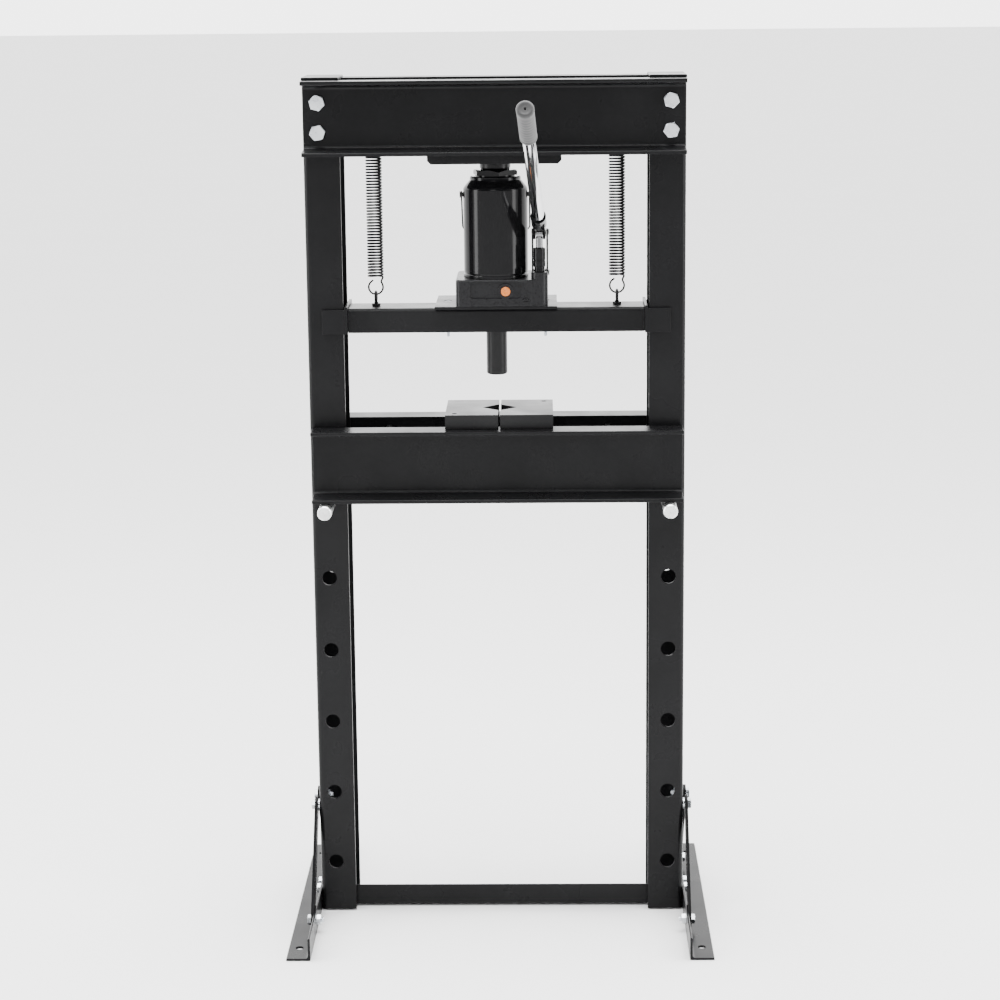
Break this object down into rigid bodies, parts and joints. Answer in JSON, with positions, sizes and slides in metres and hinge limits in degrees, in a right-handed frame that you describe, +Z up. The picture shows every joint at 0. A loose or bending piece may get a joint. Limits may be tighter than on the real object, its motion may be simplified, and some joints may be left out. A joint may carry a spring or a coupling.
{
  "type": "hydraulic shop press",
  "caption": "H-frame hydraulic shop press: bottle jack on a sprung crossbar with press pin, pinned height-adjustable channel bed, notched arbor plates and braced feet.",
  "frame": {"origin": "on the floor, under the vertical axis of the press pin, midway between the posts", "axes": "+Z up, -Y towards the operator, +X to the operator's right"},
  "size_m": [0.738, 0.8774, 1.497],
  "materials": {
    "black_paint": "semi-gloss black powder coat",
    "tool_black": "black painted or blackened tool steel",
    "zinc_hardware": "bright zinc plate",
    "pin_steel": "turned and zinc plated steel",
    "spring_steel": "black oiled spring wire",
    "cast_body": "black painted casting",
    "jack_enamel": "gloss black enamel",
    "ram_steel": "ground steel",
    "linkage_steel": "plated steel",
    "handle_chrome": "polished plating",
    "grip_rubber": "matte grey-black grip",
    "plug_orange": "orange rubber plug"
  },
  "bodies": {
    "frame": {"beam_bolts": "zinc_hardware", "beam_nuts": "zinc_hardware", "brace_bolts": "zinc_hardware", "brace_left_front": "black_paint", "brace_left_rear": "black_paint", "brace_nuts": "zinc_hardware", "brace_right_front": "black_paint", "brace_right_rear": "black_paint", "brace_spacers": "zinc_hardware", "cap_left": "black_paint", "cap_right": "black_paint", "cross_member": "black_paint", "foot_bolts": "zinc_hardware", "foot_left": "black_paint", "foot_nuts": "zinc_hardware", "foot_right": "black_paint", "post_left": "black_paint", "post_right": "black_paint", "spring_left": "spring_steel", "spring_right": "spring_steel", "spring_rods": "black_paint", "top_beam_front": "black_paint", "top_beam_rear": "black_paint", "top_plate": "black_paint"},
    "carrier": {"crossbar": "black_paint", "guide_left": "black_paint", "guide_right": "black_paint", "jack_plate": "black_paint", "jack_plate_screws": "zinc_hardware", "press_pin": "tool_black", "eye_bolt_left": "tool_black", "eye_bolt_right": "tool_black", "eye_nuts": "tool_black", "jack_base": "cast_body", "jack_tank": "jack_enamel", "jack_cylinder": "ram_steel", "packing_nut": "jack_enamel", "bail_pivots": "tool_black", "pump_body": "jack_enamel", "pump_links": "tool_black", "fulcrum_pin": "linkage_steel", "link_foot_pin": "linkage_steel"},
    "ram": {"jack_ram": "ram_steel", "ram_saddle": "tool_black"},
    "bed": {"bed_beam_front": "black_paint", "bed_beam_rear": "black_paint", "bed_spacer_left": "black_paint", "bed_spacer_right": "black_paint"},
    "bed_pin_l": {"bed_pin_left": "pin_steel"},
    "bed_pin_r": {"bed_pin_right": "pin_steel"},
    "arbor_l": {"arbor_plate_left": "tool_black"},
    "arbor_r": {"arbor_plate_right": "tool_black"},
    "lever": {"handle_socket": "jack_enamel"},
    "handle": {"handle_tube": "handle_chrome", "handle_grip": "grip_rubber"},
    "piston": {"pump_piston": "ram_steel", "piston_pin": "linkage_steel"},
    "carry_bail": {"bail": "tool_black"},
    "valve": {"release_valve": "tool_black"},
    "plug": {"filler_plug": "plug_orange"}
  },
  "joints": [
    {"name": "crossbar_travel", "type": "slide", "parent": "frame", "child": "carrier", "axis": [0, 0, -1], "range_m": [0, 0.04], "stiffness_N_per_m": 6000, "springref_m": -0.055, "deforming": ["spring_left", "spring_right"]},
    {"name": "ram_travel", "type": "slide", "parent": "carrier", "child": "ram", "axis": [0, 0, 1], "range_m": [0, 0.04]},
    {"name": "bed_lift", "type": "slide", "parent": "frame", "child": "bed", "axis": [0, 0, 1], "range_m": [0, 0.012]},
    {"name": "bed_pin_left_pull", "type": "slide", "parent": "frame", "child": "bed_pin_l", "axis": [0, -1, 0], "range_m": [0, 0.17]},
    {"name": "bed_pin_right_pull", "type": "slide", "parent": "frame", "child": "bed_pin_r", "axis": [0, -1, 0], "range_m": [0, 0.17]},
    {"name": "arbor_left_slide", "type": "slide", "parent": "bed", "child": "arbor_l", "axis": [-1, 0, 0], "range_m": [0, 0.12]},
    {"name": "arbor_right_slide", "type": "slide", "parent": "bed", "child": "arbor_r", "axis": [1, 0, 0], "range_m": [0, 0.12]},
    {"name": "pump_stroke", "type": "hinge", "parent": "carrier", "child": "lever", "pos_m": [0.07641, -0.01702, 1.2282], "axis": [-0.9994, 0.0349, 0], "range_deg": [-22, 30]},
    {"name": "piston_stroke", "type": "slide", "parent": "carrier", "child": "piston", "axis": [0, 0, 1], "range_m": [-0.011, 0.0145]},
    {"name": "handle_pull", "type": "slide", "parent": "lever", "child": "handle", "axis": [-0.0322, -0.9233, 0.3827], "range_m": [0, 0.03]},
    {"name": "bail_swing", "type": "hinge", "parent": "carrier", "child": "carry_bail", "pos_m": [0, 0, 1.2922], "axis": [1, 0, 0], "range_deg": [0, 78]},
    {"name": "release_valve_turn", "type": "hinge", "parent": "carrier", "child": "valve", "pos_m": [0.052, -0.058, 1.1132], "axis": [0, -1, 0], "range_deg": [0, 360]},
    {"name": "filler_plug_pull", "type": "slide", "parent": "carrier", "child": "plug", "axis": [0, -1, 0], "range_m": [0, 0.015]}
  ],
  "couplings": [
    {"joint": "ram_travel", "follows": "crossbar_travel", "ratio": 1},
    {"joint": "piston_stroke", "follows": "pump_stroke", "m_per_rad": 0.027}
  ]
}
